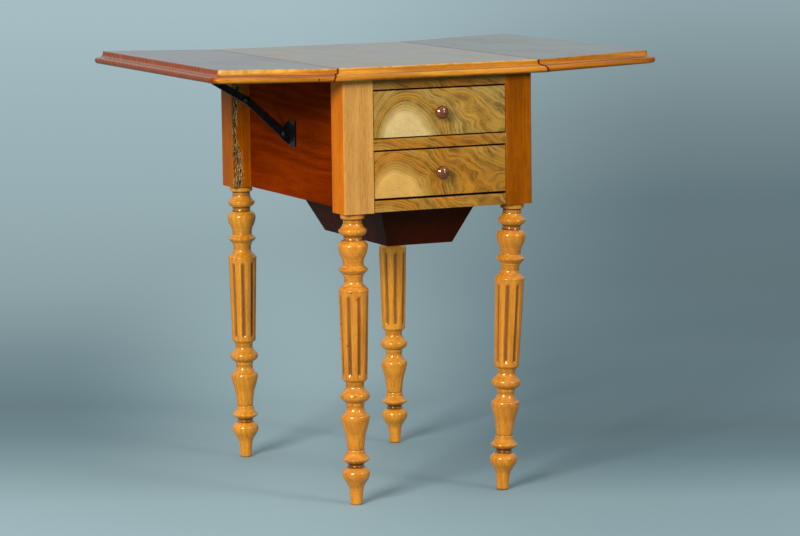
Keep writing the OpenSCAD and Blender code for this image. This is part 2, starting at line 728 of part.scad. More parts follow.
// The knob's turning, from the drawer front outwards
knob_turning = [
    [1.6, 7.4, 7.4, 0.3], [3.4, 5.6, 5.4, -0.6], [1.2, 7, 7.4, 0.2], [5.6, 7.4, 11.5, 1],
    [6.2, 11.5, 7.6, 1.5], [1.4, 7.6, 4.4, 0.4], [1.6, 4.4, 0.01, 0.5]
];
knob_scale = knob_out / total(knob_turning, len(knob_turning));
knob_points = [for (p = outline(knob_turning, 0)) [p[0] * knob_r / 11.5, p[1] * knob_scale]];

module drawer_knob(k) color(copper) at_knob(k) union() {
    rotate_extrude() polygon(concat([[0, 0]], knob_points, [[0, knob_out]]));
    translate([0, 0, -front_t]) cylinder(r = spigot_r, h = front_t + over);
}

module drawer_bottom(k) color(pale_wood) drawer_bottom_solid(k);
module drawer_back(k) color(pale_wood) drawer_back_solid(k);

// ---- Well ----

well_top_z = strip_z;
well_y0 = front_y + front_t + frame_front;
well_y1 = well_y0 + well_len;
well_x0 = open_mid - well_w / 2;
well_x1 = open_mid + well_w / 2;
frame_y1 = well_y1 + frame_back;
rim = 3;               // how far the frame's opening stands inside the sloping boards

module well_front_strip() color(burr)
    box([drawer_left, front_y, strip_z], [drawer_right, front_y + front_t, strip_z + strip_h]);

module well_side_rails() color(pale_wood) for (s = [-1, 1]) to_side(s) {
    inner = s > 0 ? well_x1 - rim - well_board_t : -well_x0 - rim - well_board_t;
    outer = opening(s) - side_gap;
    difference() {
        box([inner, front_y + front_t, strip_z], [outer, frame_y1, strip_z + frame_t]);
        box([outer - groove_d, front_y + front_t - over, strip_z + frame_t / 2 - well_runner_h / 2 - slip],
            [outer + over, frame_y1 + over, strip_z + frame_t / 2 + well_runner_h / 2 + slip]);
    }
}

module well_cross_rails() color(pale_wood) {
    x0 = well_x0 + rim + well_board_t;
    x1 = well_x1 - rim - well_board_t;
    box([x0, front_y + front_t, strip_z], [x1, well_y0 + rim + well_board_t, strip_z + frame_t]);
    box([x0, well_y1 - rim - well_board_t, strip_z], [x1, frame_y1, strip_z + frame_t]);
}

// Level thickness of so many sloping boards
function level_t(slope, boards) = boards * well_board_t * sqrt(1 + (slope / well_h)^2);

// Trapezium between two sides that slope in by a and b, taken in by the thickness of so many boards
module taper_section(u0, u1, a, b, boards) polygon([
    [u0 + level_t(a, boards), well_top_z], [u0 + level_t(a, boards) + a, well_top_z - well_h],
    [u1 - level_t(b, boards) - b, well_top_z - well_h], [u1 - level_t(b, boards), well_top_z]]);

module between_sides(boards) along_y(well_y0 - over, well_y1 + over)
    taper_section(well_x0, well_x1, side_slope, side_slope, boards);
module between_ends(boards) along_x(well_x0 - over, well_x1 + over)
    taper_section(well_y0, well_y1, front_slope, back_slope, boards);

// The front board (s = -1) or the back board (s = 1) of the well
module well_end_board(s) color(dark_wood) difference() {
    intersection() {
        between_sides(0);
        between_ends(0);
    }
    between_ends(1);
    if (s > 0) box([-big, -big, 0], [big, (well_y0 + well_y1) / 2, big]);
    if (s < 0) box([-big, (well_y0 + well_y1) / 2, 0], [big, big, big]);
}

module well_side_board(s) color(dark_wood) difference() {
    intersection() {
        between_sides(0);
        between_ends(1);
    }
    between_sides(1);
    if (s > 0) box([-big, -big, 0], [open_mid, big, big]);
    if (s < 0) box([open_mid, -big, 0], [big, big, big]);
}

module well_bottom() color(dark_wood) intersection() {
    between_sides(1);
    between_ends(1);
    box([-big, -big, well_top_z - well_h], [big, big, well_top_z - well_h + bottom_t]);
}

fitted_post(-1, -1);  // front_left_post
fitted_post(1, -1);  // front_right_post
fitted_post(-1, 1);  // back_left_post
fitted_post(1, 1);  // back_right_post
leg(-1, -1, 0, 0);  // front_left_leg
leg(1, -1, 12, front_right_lean);  // front_right_leg
leg(-1, 1, 25, 0);  // back_left_leg
leg(1, 1, 33, 0);  // back_right_leg
side_panel(-1);  // left_side_panel
side_panel(1);  // right_side_panel
back_panel();
top_rail();
mid_rail();
drawer_runners();
well_runners();
top_battens();
carcass_screws();
centre_top();
hinge_fixed_flaps();
hinge_pins();
stay_bracket(-1);  // left_stay_bracket
stay_bracket(1);  // right_stay_bracket
bracket_rivet(-1);  // left_bracket_rivet
bracket_rivet(1);  // right_bracket_rivet
leaf(-1);  // left_leaf
leaf_hinge_flaps(-1);  // left_hinge_flaps
leaf_screws(-1);  // left_leaf_screws
stay_plate(-1);  // left_stay_plate
plate_rivet(-1);  // left_plate_rivet
leaf(1);  // right_leaf
leaf_hinge_flaps(1);  // right_hinge_flaps
leaf_screws(1);  // right_leaf_screws
stay_plate(1);  // right_stay_plate
plate_rivet(1);  // right_plate_rivet
lower_stay_link(-1);  // left_lower_link
knee_rivet(-1);  // left_knee_rivet
upper_stay_link(-1);  // left_upper_link
lower_stay_link(1);  // right_lower_link
knee_rivet(1);  // right_knee_rivet
upper_stay_link(1);  // right_upper_link
drawer_front(1);  // upper_drawer_front
drawer_side(1, -1);  // upper_drawer_left_side
drawer_side(1, 1);  // upper_drawer_right_side
drawer_back(1);  // upper_drawer_back
drawer_bottom(1);  // upper_drawer_bottom
drawer_knob(1);  // upper_drawer_knob
drawer_front(0);  // lower_drawer_front
drawer_side(0, -1);  // lower_drawer_left_side
drawer_side(0, 1);  // lower_drawer_right_side
drawer_back(0);  // lower_drawer_back
drawer_bottom(0);  // lower_drawer_bottom
drawer_knob(0);  // lower_drawer_knob
well_front_strip();
well_side_rails();
well_cross_rails();
well_end_board(-1);  // well_front_board
well_end_board(1);  // well_back_board
well_side_board(-1);  // well_left_board
well_side_board(1);  // well_right_board
well_bottom();
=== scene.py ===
"""Looks of the drop-leaf sewing table: varnished woods, burr veneer, dark iron, a studio floor."""

import math

import bmesh
import bpy
import numpy as np
from mathutils import Matrix, Vector, noise


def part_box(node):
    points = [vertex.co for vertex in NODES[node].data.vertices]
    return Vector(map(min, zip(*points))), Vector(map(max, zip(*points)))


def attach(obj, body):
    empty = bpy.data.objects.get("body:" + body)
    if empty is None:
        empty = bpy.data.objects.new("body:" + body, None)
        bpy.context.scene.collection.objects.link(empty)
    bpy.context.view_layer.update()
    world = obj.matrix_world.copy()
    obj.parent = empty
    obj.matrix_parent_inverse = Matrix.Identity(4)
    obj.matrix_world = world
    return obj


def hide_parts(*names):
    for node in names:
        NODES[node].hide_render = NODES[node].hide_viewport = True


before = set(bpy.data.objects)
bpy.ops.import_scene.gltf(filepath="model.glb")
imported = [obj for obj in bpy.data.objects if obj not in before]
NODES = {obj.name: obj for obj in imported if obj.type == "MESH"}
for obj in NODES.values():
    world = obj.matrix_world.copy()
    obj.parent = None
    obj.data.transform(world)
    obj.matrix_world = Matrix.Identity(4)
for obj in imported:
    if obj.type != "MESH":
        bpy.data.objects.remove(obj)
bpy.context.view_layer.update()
MM = 0.001
X, Y, Z = 0, 1, 2

# ---- Shader helpers ----


def srgb(r, g, b):
    """A colour given in 0 to 255 display values, as linear RGBA."""
    out = []
    for value in (r, g, b):
        v = value / 255
        out.append(v / 12.92 if v <= 0.04045 else ((v + 0.055) / 1.055) ** 2.4)
    return (*out, 1.0)


class Shader:
    """A material with a Principled shader and short ways to add nodes."""

    def __init__(self, name, base=None):
        """Starts from a copy of the material base where there is one."""
        self.material = base.copy() if base else bpy.data.materials.new(name)
        self.material.name = name
        self.material.use_nodes = True
        self.tree = self.material.node_tree
        self.principled = self.tree.nodes["Principled BSDF"]

    def add(self, kind, inputs=None, **settings):
        node = self.tree.nodes.new(kind)
        for key, value in settings.items():
            setattr(node, key, value)
        for key, value in (inputs or {}).items():
            self.put(node.inputs[key], value)
        return node

    def put(self, socket, value):
        if isinstance(value, bpy.types.NodeSocket):
            self.tree.links.new(value, socket)
        else:
            socket.default_value = value

    def source(self, name):
        """The socket that feeds one of the Principled shader's inputs."""
        return self.principled.inputs[name].links[0].from_socket

    def math(self, operation, a, b=0.0, c=0.0, clamp=False):
        node = self.add("ShaderNodeMath", {0: a, 1: b, 2: c}, operation=operation, use_clamp=clamp)
        return node.outputs[0]

    def vector(self, operation, a, b=(0, 0, 0)):
        node = self.add("ShaderNodeVectorMath", {0: a, 1: b}, operation=operation)
        return node.outputs["Value" if operation in ("LENGTH", "DOT_PRODUCT") else "Vector"]

    def mix(self, factor, a, b, blend="MIX"):
        node = self.add("ShaderNodeMix", data_type="RGBA", blend_type=blend)
        self.put(node.inputs[0], factor)
        self.put(node.inputs[6], a)
        self.put(node.inputs[7], b)
        return node.outputs[2]

    def noise(self, vector, scale, detail=3.0, roughness=0.55, colour=False):
        node = self.add(
            "ShaderNodeTexNoise",
            {"Vector": vector, "Scale": scale, "Detail": detail, "Roughness": roughness},
        )
        return node.outputs["Color" if colour else "Fac"]

    def ramp(self, factor, *stops):
        """A colour ramp; each stop is (position, grey or colour)."""
        node = self.add("ShaderNodeValToRGB", {0: factor})
        elements = node.color_ramp.elements
        while len(elements) < len(stops):
            elements.new(0.5)
        for element, (position, value) in zip(elements, stops):
            element.position = position
            element.color = value if isinstance(value, tuple) else (value, value, value, 1.0)
        return node.outputs[0]

    def span(self, value, start, end, low, high, smooth=False):
        """Takes values between start and end to low and high, and holds them outside."""
        node = self.add(
            "ShaderNodeMapRange",
            {"Value": value, "From Min": start, "From Max": end, "To Min": low, "To Max": high},
            interpolation_type="SMOOTHSTEP" if smooth else "LINEAR",
        )
        return node.outputs[0]

    def split(self, vector):
        return self.add("ShaderNodeSeparateXYZ", {0: vector}).outputs

    def join(self, x, y, z=0.0):
        return self.add("ShaderNodeCombineXYZ", {0: x, 1: y, 2: z}).outputs[0]

    def coords(self):
        return self.add("ShaderNodeTexCoord").outputs["Object"]

    def normal(self):
        return self.add("ShaderNodeNewGeometry").outputs["Normal"]

    def scaled(self, vector, scale):
        return self.add("ShaderNodeMapping", {"Vector": vector, "Scale": scale}).outputs[0]

    def attribute(self, name):
        return self.add("ShaderNodeAttribute", attribute_name=name).outputs["Fac"]

    def bump(self, height, strength, distance):
        node = self.add(
            "ShaderNodeBump", {"Height": height, "Strength": strength, "Distance": distance}
        )
        self.put(self.principled.inputs["Normal"], node.outputs[0])

    def finish(
        self, colour, roughness, coat=0.0, coat_roughness=0.1, specular=0.5, metallic=0.0, tint=None
    ):
        inputs = self.principled.inputs
        self.put(inputs["Base Color"], colour)
        self.put(inputs["Roughness"], roughness)
        self.put(inputs["Coat Weight"], coat)
        inputs["Coat Roughness"].default_value = coat_roughness
        self.put(inputs["Specular IOR Level"], specular)
        inputs["Metallic"].default_value = metallic
        if tint:
            inputs["Specular Tint"].default_value = tint
        return self.material


# ---- Wear of the top boards ----

TOP_LOW, TOP_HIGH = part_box("centre_top")
JOINT_R = 12 * MM
JOINT_LIP = 1.5 * MM
PIN_R = 1.6 * MM
LEFT_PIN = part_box("hinge_pins")[0].x + PIN_R
RIGHT_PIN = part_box("hinge_pins")[1].x - PIN_R
BACK_EDGE = TOP_HIGH.y - 19 * MM
MOULDING_SHADE = srgb(84, 32, 8)
SEAM_RED = srgb(84, 22, 8)
PALE_WEAR_AND_HIGHLIGHT = srgb(240, 200, 112)


def seam_mask(s, x, z, loose, pin):
    """The dirty line of a rule joint: down its upright step, then round its curved edge."""
    drop = s.math("SUBTRACT", z, TOP_LOW.z + JOINT_LIP)
    drop = s.math("MINIMUM", s.math("MAXIMUM", drop, 0.0), JOINT_R)
    squared = s.math("SUBTRACT", JOINT_R**2, s.math("MULTIPLY", drop, drop))
    swing = s.math("SQRT", s.math("MAXIMUM", squared, 0.0))
    seam = s.math("MULTIPLY_ADD", swing, math.copysign(1.0, pin), pin)
    off = s.math("ABSOLUTE", s.math("SUBTRACT", x, seam))
    off = s.math("MULTIPLY_ADD", s.math("SUBTRACT", loose, 0.5), 3.0 * MM, off)
    return s.span(off, 1.2 * MM, 2.6 * MM, 0.95, 0.0)


def board_marks(s, colour, pins, sky_reflection_tint, arris_wear_and_highlight=0.4):
    """A top board's colour with its wear, and a mask of where its polish is dull.

    The upper face is tinted darker and cooler, a painted reflection of the pale sky. Grime lies
    along the rule joints; the underside of the moulding and the quirk above its bead are painted
    dark as shade; the arrises are pale, partly from wear and partly a painted highlight; and the
    back edge carries a painted highlight.
    """
    point = s.coords()
    x, y, z = s.split(point)
    loose = s.noise(point, 70.0, 4.0, 0.65)
    facing = s.split(s.normal())
    edge = s.ramp(facing[Z], (0.80, 1.0), (0.97, 0.0))
    top = s.math("SUBTRACT", 1.0, edge)
    # upper faces take the tint, a painted reflection of the pale sky
    colour = s.mix(top, colour, s.mix(1.0, colour, (*sky_reflection_tint, 1.0), "MULTIPLY"))

    # the bead stays golden; its underside and the quirk above it are painted dark, as shade
    level = s.span(z, TOP_LOW.z, TOP_HIGH.z, 0.0, 1.0)
    band = s.ramp(
        level,
        (0.0, 0.95), (0.12, 0.6), (0.22, 0.0), (0.44, 0.0), (0.52, 0.35), (0.62, 0.10), (1.0, 0.0),
    )
    band = s.math("MULTIPLY", band, s.ramp(loose, (0.30, 1.0), (0.68, 0.45)))
    colour = s.mix(s.math("MULTIPLY", band, edge), colour, MOULDING_SHADE)

    front_or_back = s.ramp(s.math("ABSOLUTE", facing[Y]), (0.25, 0.0), (0.5, 1.0))
    # the arrises are pale, partly from wear and partly a painted highlight
    arris_wear_and_shine = s.ramp(level, (0.84, 0.0), (0.96, arris_wear_and_highlight))
    arris_wear_and_shine = s.math("MULTIPLY", arris_wear_and_shine, s.math("MULTIPLY", edge, front_or_back))
    # the strip along the back edge is a painted highlight
    back = s.span(y, BACK_EDGE, BACK_EDGE + 1.5 * MM, 0.0, 0.8)
    wear_and_highlight = s.math("MAXIMUM", arris_wear_and_shine, back)
    wear_and_highlight = s.math("MULTIPLY", wear_and_highlight, s.ramp(loose, (0.38, 0.3), (0.60, 1.0)))
    colour = s.mix(wear_and_highlight, colour, PALE_WEAR_AND_HIGHLIGHT)
    dull = s.math("MULTIPLY", back, top)

    for pin in pins:
        seam = seam_mask(s, x, z, loose, pin)
        colour = s.mix(seam, colour, SEAM_RED)
        dull = s.math("MAXIMUM", dull, seam)
    smear = s.noise(s.scaled(point, (1.0, 0.45, 1.0)), 13.0, 4.0, 0.6)
    smudge = s.ramp(smear, (0.42, 0.0), (0.75, 0.35))
    return colour, s.math("MAXIMUM", dull, smudge)


# ---- Woods ----


def grain_scale(along, across, lengthwise):
    """Scale vector with one value along the grain and another across it."""
    scale = [across] * 3
    scale[along] = lengthwise
    return tuple(scale)


def growth_rings(s, point, along, ring_gap, figure):
    """Dark and light rings round the heart of the tree, bent by figure."""
    slow = s.scaled(point, grain_scale(along, 1.0, 0.12))
    warp = s.vector("SUBTRACT", s.noise(slow, 11.0, 3.0, colour=True), (0.5, 0.5, 0.5))
    warp = s.vector("MULTIPLY", warp, (0.06 * figure,) * 3)
    flat = s.vector("MULTIPLY", s.vector("ADD", slow, warp), grain_scale(along, 1.0, 0.0))
    turns = s.math("MULTIPLY", s.vector("LENGTH", flat), 2 * math.pi / ring_gap)
    wave = s.math("MULTIPLY_ADD", s.math("SINE", turns), 0.5, 0.5)
    return s.math("POWER", wave, 1.8)


def worm_holes(s, point):
    """Small round marks in scattered groups."""
    cells = s.add("ShaderNodeTexVoronoi", {"Vector": point, "Scale": 95.0}, feature="F1")
    near = s.ramp(cells.outputs["Distance"], (0.10, 1.0), (0.22, 0.0))
    chosen = s.ramp(s.noise(point, 23.0, 1.0), (0.60, 0.0), (0.64, 1.0))
    return s.math("MULTIPLY", near, chosen)


def solid_wood(
    name,
    along,
    dark,
    light,
    *,
    ring_gap,
    contrast,
    roughness,
    heart=(0.0, 0.0, 0.0),
    figure=1.0,
    pores=0.5,
    blotch=0.5,
    spots=0.0,
    coat=0.0,
    coat_roughness=0.12,
    specular=0.5,
    tint=(1.0, 0.62, 0.25, 1.0),
    recess=False,
    front=None,
    board=None,
):
    """Varnished solid wood with growth rings round heart, streaks, pores and blotches.

    recess paints shade into the hollows that a mesh marks, front is another dark and light pair
    for faces towards the front, and board holds the keywords of board_marks.
    """
    s = Shader(name)
    point = s.vector("SUBTRACT", s.coords(), heart)
    rings = growth_rings(s, point, along, ring_gap, figure)
    streak = s.noise(s.scaled(point, grain_scale(along, 420.0, 14.0)), 1.0, 4.0, 0.6)
    fine = s.noise(s.scaled(point, grain_scale(along, 1900.0, 70.0)), 1.0, 2.0, 0.5)
    broad = s.noise(s.scaled(point, grain_scale(along, 1.0, 0.35)), 16.0, 3.0, 0.6)

    amount = s.math("MULTIPLY", rings, contrast)
    amount = s.math("ADD", amount, s.math("MULTIPLY", streak, 1.0 - contrast), clamp=True)
    colour = s.mix(amount, dark, light)
    # faces towards the front take the front pair, which on the front left post is a painted sheen
    if front:
        facing = s.vector("DOT_PRODUCT", s.normal(), (0.0, -1.0, 0.0))
        facing = s.ramp(facing, (0.5, 0.0), (0.9, 1.0))
        colour = s.mix(facing, colour, s.mix(amount, *front))
    shade = s.ramp(broad, (0.3, 1.0 - 0.5 * blotch), (0.7, 1.0))
    colour = s.mix(1.0, colour, shade, "MULTIPLY")
    pore = s.ramp(fine, (0.34, 1.0 - pores), (0.46, 1.0))
    colour = s.mix(0.8, colour, pore, "MULTIPLY")
    # the hollows are painted dark, as shade
    if recess:
        loose = s.ramp(broad, (0.3, 1.0), (0.75, 0.55))
        hollow_shade = s.math("MULTIPLY", s.attribute("recess"), loose, clamp=True)
        colour = s.mix(hollow_shade, colour, srgb(58, 22, 5))
    if spots:
        mark = s.math("MULTIPLY", worm_holes(s, point), spots)
        colour = s.mix(mark, colour, srgb(40, 18, 8))
    if board:
        colour, dull = board_marks(s, colour, **board)
        clean = s.math("SUBTRACT", 1.0, dull)
        up = s.split(s.normal())[Z]
        coat = s.math("MULTIPLY", s.ramp(up, (0.55, 0.06), (0.95, coat)), clean)
        specular = s.math("MULTIPLY", s.ramp(up, (0.55, 0.16), (0.95, specular)), clean)

    wear = s.noise(point, 60.0, 4.0, 0.6)
    rough = s.math("MULTIPLY_ADD", wear, 0.18, roughness - 0.09)
    height = s.math("ADD", s.math("MULTIPLY", fine, 0.5), s.math("MULTIPLY", streak, 0.5))
    s.bump(height, 0.22, 0.25 * MM)
    return s.finish(colour, rough, coat, coat_roughness, specular, tint=tint)


def burr_veneer(name, node, offset, size, tint=(1.0, 1.0, 1.0)):
    """Figured veneer: a pale arch, and wavy dark lines that sweep off to its right.

    offset is the arch's middle from the node's lower left corner, and size is the arch's half
    width and height, both in mm.
    """
    s = Shader(name)
    low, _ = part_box(node)
    middle = (low.x + offset[0] * MM, 0.0, low.z + offset[1] * MM)
    point = s.coords()
    flat = s.vector("MULTIPLY", point, (1.0, 0.0, 1.0))
    shares = (1.0 / (size[0] * MM), 0.0, 1.0 / (size[1] * MM))
    side, _, up = s.split(s.scaled(s.vector("SUBTRACT", point, middle), shares))
    right = s.math("MAXIMUM", side, 0.0)
    pulled = s.math("DIVIDE", side, s.math("MULTIPLY_ADD", right, 0.34, 1.0))
    wild = s.span(side, 0.0, 1.3, 0.25, 1.0, smooth=True)
    stretched = s.scaled(flat, (0.7, 1.0, 1.0))
    broad = s.math("SUBTRACT", s.noise(stretched, 17.0, 2.0, 0.5), 0.5)
    curl = s.math("SUBTRACT", s.noise(stretched, 62.0, 3.0, 0.55), 0.5)
    bend = s.math("ADD", s.math("MULTIPLY", broad, 0.60), s.math("MULTIPLY", curl, 0.085))
    bend = s.math("MULTIPLY", bend, wild)
    distance = s.math("ADD", s.vector("LENGTH", s.join(pulled, 0.0, up)), bend)

    def lines(gap, power):
        wave = s.math("SINE", s.math("MULTIPLY", distance, 2 * math.pi / gap))
        return s.math("POWER", s.math("MULTIPLY_ADD", wave, 0.5, 0.5), power)

    def tinted(r, g, b):
        return (r * tint[0], g * tint[1], b * tint[2], 1.0)

    pale = tinted(0.52, 0.36, 0.15)
    olive = tinted(0.335, 0.205, 0.048)
    warm = tinted(0.36, 0.175, 0.024)
    ground = s.ramp(
        s.math("MULTIPLY", distance, 0.4),
        (0.0, pale), (0.29, pale), (0.37, olive), (0.44, warm), (0.52, olive), (0.62, warm),
        (0.75, olive),
    )
    outside = s.span(distance, 0.62, 1.08, 0.10, 0.9, smooth=True)
    patch = s.ramp(s.noise(flat, 38.0, 3.0, 0.6), (0.36, 0.25), (0.62, 1.0))
    wide_lines = s.math("MULTIPLY", lines(0.19, 5.0), 0.9)
    thin_lines = s.math("MULTIPLY", lines(0.061, 2.5), 0.8)
    dark = s.math("MULTIPLY", s.math("MAXIMUM", wide_lines, thin_lines), outside)
    dark = s.math("MULTIPLY", dark, patch)
    colour = s.mix(dark, ground, tinted(0.080, 0.042, 0.008))
    cloud = s.ramp(s.noise(flat, 24.0, 4.0, 0.6), (0.3, 0.80), (0.7, 1.10))
    colour = s.mix(1.0, colour, cloud, "MULTIPLY")
    fleck = s.noise(s.scaled(flat, (900.0, 1.0, 380.0)), 1.0, 3.0, 0.6)
    colour = s.mix(0.8, colour, s.ramp(fleck, (0.34, 0.45), (0.46, 1.0)), "MULTIPLY")
    rough = s.math("MULTIPLY_ADD", s.noise(point, 45.0, 4.0, 0.6), 0.2, 0.26)
    s.bump(s.math("ADD", fleck, s.math("MULTIPLY", dark, -0.6)), 0.16, 0.2 * MM)
    gloss = (1.0, 0.7, 0.3, 1.0)
    return s.finish(colour, rough, coat=0.12, coat_roughness=0.12, specular=0.25, tint=gloss)


def broken_out_wood(name, base):
    """The varnished wood of a post, with raw fibres where the mesh's attribute raw says so."""
    s = Shader(name, base)
    varnished, roughness = s.source("Base Color"), s.source("Roughness")
    fibre = s.noise(s.scaled(s.coords(), (900.0, 900.0, 60.0)), 1.0, 4.0, 0.65)
    raw = s.ramp(
        fibre, (0.34, srgb(48, 28, 12)), (0.48, srgb(128, 96, 52)), (0.66, srgb(196, 168, 118))
    )
    # the deepest parts of the break are painted near black, as shade
    deep = s.ramp(s.attribute("raw_depth"), (0.45, 0.0), (0.95, 0.92))
    raw = s.mix(deep, raw, srgb(22, 12, 6))
    mask = s.ramp(s.attribute("raw"), (0.35, 0.0), (0.6, 1.0))
    s.put(s.principled.inputs["Base Color"], s.mix(mask, varnished, raw))
    roughness = s.math("ADD", roughness, s.math("MULTIPLY", mask, 0.45), clamp=True)
    s.put(s.principled.inputs["Roughness"], roughness)
    return s.material


def dark_iron(name):
    s = Shader(name)
    point = s.coords()
    cloud = s.noise(point, 90.0, 4.0, 0.6)
    grain = s.noise(point, 900.0, 3.0, 0.6)
    colour = s.ramp(
        cloud, (0.32, srgb(18, 20, 24)), (0.55, srgb(34, 34, 38)), (0.72, srgb(62, 46, 34))
    )
    rough = s.math("MULTIPLY_ADD", grain, 0.3, 0.28)
    s.bump(grain, 0.3, 0.15 * MM)
    return s.finish(colour, rough, specular=0.5, metallic=0.75)


LEG_FINISH = {
    "ring_gap": 9 * MM, "contrast": 0.16, "roughness": 0.2, "figure": 0.5, "pores": 0.55,
    "spots": 0.7, "coat": 0.35, "coat_roughness": 0.05, "recess": True,
}
leg_wood = solid_wood(
    "leg_wood", Z, srgb(156, 84, 8), srgb(230, 152, 46), blotch=0.55, **LEG_FINISH
)
# the back legs take a paler copy of the leg wood, as painted light
back_leg_wood_painted_light = solid_wood(
    "back_leg_wood_painted_light", Z, srgb(164, 92, 10), srgb(240, 164, 52), blotch=0.45, **LEG_FINISH
)

POST_FINISH = {"ring_gap": 23 * MM, "contrast": 0.2, "roughness": 0.4}
# the front left post's paler front faces are a painted sheen of the light
pale_post_front_sheen = solid_wood(
    "pale_post_wood", Z, srgb(176, 86, 2), srgb(214, 116, 6),
    heart=(0.2, 0.1, 0.0), pores=0.4, blotch=0.4, specular=0.04,
    front=(srgb(160, 106, 44), srgb(208, 154, 84)), **POST_FINISH,
)
red_post = solid_wood(
    "red_post_wood", Z, srgb(100, 44, 1), srgb(164, 88, 6),
    heart=(0.25, 0.1, 0.0), blotch=0.7, specular=0.06, **POST_FINISH,
)
orange_post = solid_wood(
    "orange_post_wood", Z, srgb(132, 60, 1), srgb(190, 98, 5),
    heart=(0.2, 0.1, 0.0), blotch=0.7, specular=0.06, **POST_FINISH,
)

BOARD_FINISH = {
    "ring_gap": 9 * MM, "contrast": 0.4, "roughness": 0.18, "spots": 1.0, "coat": 0.8,
    "coat_roughness": 0.05,
}
top_wood = solid_wood(
    "top_wood", X, srgb(150, 82, 10), srgb(226, 152, 46), heart=(0.0, 0.0, 0.55),
    board={"pins": (LEFT_PIN, RIGHT_PIN), "sky_reflection_tint": (0.72, 0.86, 0.9)}, **BOARD_FINISH,
)
left_leaf_wood = solid_wood(
    "left_leaf_wood", X, srgb(88, 28, 3), srgb(168, 78, 12), heart=(0.0, 0.3, 0.5),
    front=(srgb(150, 78, 10), srgb(222, 144, 40)),
    board={"pins": (LEFT_PIN,), "sky_reflection_tint": (0.9, 1.0, 1.0)}, **BOARD_FINISH,
)
right_leaf_wood = solid_wood(
    "right_leaf_wood", X, srgb(122, 60, 6), srgb(194, 118, 28), heart=(0.0, -0.2, 0.5),
    board={"pins": (RIGHT_PIN,), "sky_reflection_tint": (0.42, 0.6, 0.8), "arris_wear_and_highlight": 0.08}, **BOARD_FINISH,
)

panel_wood = solid_wood(
    "panel_wood", Y, srgb(78, 18, 1), srgb(146, 52, 3), ring_gap=11 * MM, contrast=0.25,
    roughness=0.5, heart=(0.4, 0.0, 0.4), blotch=0.6, specular=0.0, tint=(1.0, 0.3, 0.1, 1.0),
)
well_wood = solid_wood(
    "well_wood", Y, srgb(30, 7, 2), srgb(66, 19, 7), ring_gap=31 * MM, contrast=0.1,
    roughness=0.5, heart=(0.3, 0.0, 0.2), specular=0.1, tint=(1.0, 0.5, 0.3, 1.0),
)
inner_wood = solid_wood(
    "inner_wood", Y, srgb(112, 70, 34), srgb(172, 122, 72), ring_gap=7 * MM, contrast=0.4,
    roughness=0.6, heart=(0.1, 0.0, 0.2), specular=0.3,
)
knob_wood = solid_wood(
    "knob_wood", Y, srgb(66, 24, 4), srgb(122, 58, 20), ring_gap=5 * MM, contrast=0.3,
    roughness=0.14, coat=0.6, coat_roughness=0.04, specular=0.9,
)

DRAWER_ARCH = (50, 78)
RAIL_ARCH = (70, 80)
upper_veneer = burr_veneer("upper_veneer", "upper_drawer_front", (54.5, -16.6), DRAWER_ARCH)
lower_veneer = burr_veneer(
    "lower_veneer", "lower_drawer_front", (36.5, -15.0), DRAWER_ARCH, (0.98, 0.78, 0.46)
)
rail_veneer = burr_veneer(
    "rail_veneer", "mid_rail", (17.5, -67.4), RAIL_ARCH, (0.95, 0.72, 0.42)
)
# the top rail's darker tint is painted shade under the overhang of the top
top_rail_veneer_painted_shade = burr_veneer(
    "top_rail_veneer_painted_shade", "top_rail", (17.5, -64.0), RAIL_ARCH, (0.62, 0.45, 0.30)
)
strip_veneer = burr_veneer(
    "strip_veneer", "well_front_strip", (8.5, -68.0), RAIL_ARCH, (1.0, 0.80, 0.50)
)
iron = dark_iron("dark_iron")

# ---- Materials of the CAD nodes ----


def dress(material, *names):
    """Puts one material in every slot of the named nodes."""
    for name in names:
        materials = NODES[name].data.materials
        for index in range(len(materials)):
            materials[index] = material
        if not materials:
            materials.append(material)


for node_name in NODES:
    if any(word in node_name for word in ("hinge", "screws", "stay", "rivet", "link")):
        dress(iron, node_name)
dress(pale_post_front_sheen, "front_left_post")
dress(red_post, "front_right_post")
dress(orange_post, "back_left_post", "back_right_post")
dress(leg_wood, "front_left_leg", "front_right_leg", "back_left_leg", "back_right_leg")
dress(panel_wood, "left_side_panel", "right_side_panel", "back_panel")
dress(rail_veneer, "mid_rail")
dress(top_rail_veneer_painted_shade, "top_rail")
dress(strip_veneer, "well_front_strip")
dress(top_wood, "centre_top")
dress(left_leaf_wood, "left_leaf")
dress(right_leaf_wood, "right_leaf")
dress(inner_wood, "drawer_runners", "well_runners", "top_battens")
dress(inner_wood, "well_side_rails", "well_cross_rails")
for part in ("front_board", "back_board", "left_board", "right_board", "bottom"):
    dress(well_wood, f"well_{part}")
for drawer, veneer in (("upper", upper_veneer), ("lower", lower_veneer)):
    dress(veneer, f"{drawer}_drawer_front")
    dress(knob_wood, f"{drawer}_drawer_knob")
    for part in ("left_side", "right_side", "back", "bottom"):
        dress(inner_wood, f"{drawer}_drawer_{part}")

# ---- Pieces that replace CAD nodes ----


def add_object(name, data):
    made = bpy.data.objects.new(name, data)
    bpy.context.scene.collection.objects.link(made)
    return made


def stand_in(name, mesh, body, node):
    """Adds a mesh as the piece that is seen in place of a CAD node."""
    piece = add_object(name, mesh)
    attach(piece, body)
    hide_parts(node)


def smooth(mesh):
    mesh.polygons.foreach_set("use_smooth", [True] * len(mesh.polygons))


def point_values(mesh, name, values):
    """Stores one number for each point of a mesh, for its material to read."""
    attribute = mesh.attributes.new(name, "FLOAT", "POINT")
    attribute.data.foreach_set("value", np.array(values, np.float32))


# ---- Turned legs ----

